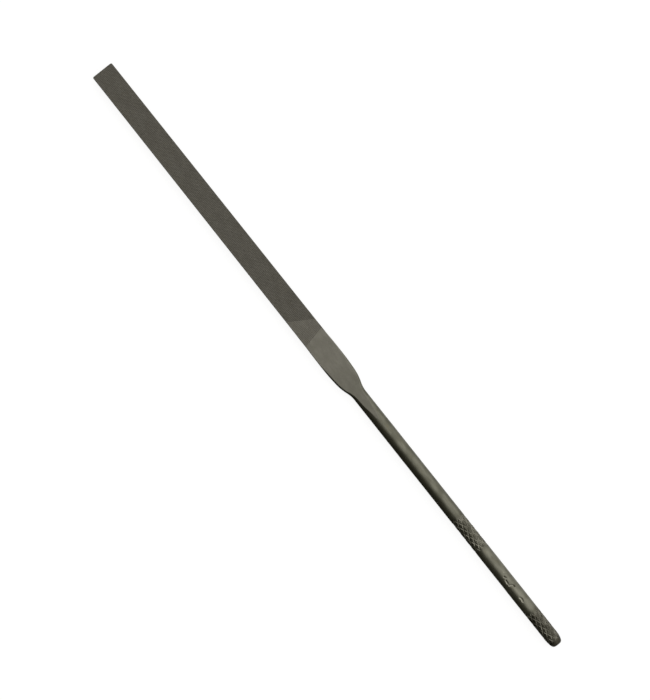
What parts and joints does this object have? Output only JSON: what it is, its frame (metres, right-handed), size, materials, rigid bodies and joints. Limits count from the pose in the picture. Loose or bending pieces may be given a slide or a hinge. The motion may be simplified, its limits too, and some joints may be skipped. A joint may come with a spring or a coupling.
{
  "type": "flat needle file",
  "caption": "Slim flat needle file with a parallel double-cut blade, a plain heel and an integral round handle with knurled bands.",
  "frame": {"origin": "under the middle of the file's length, on the plane that the round handle lies on", "axes": "+X along the file's axis towards the tip, +Z square to the blade's flat faces, +Y across the blade"},
  "size_m": [0.16, 0.0058, 0.0033],
  "materials": {
    "cut_steel": "hardened tool steel, fine double-cut teeth, dark matt grey",
    "ground_steel": "hardened tool steel, satin ground, warm grey",
    "handle_steel": "hardened tool steel, dark heat-treated skin, semi-gloss"
  },
  "bodies": {
    "root": {"cut_blade": "cut_steel", "heel": "ground_steel", "neck": "ground_steel", "handle_shank": "handle_steel", "front_knurl_band": "handle_steel", "mark_band": "handle_steel", "rear_knurl_band": "handle_steel", "butt_end": "handle_steel"}
  },
  "joints": []
}
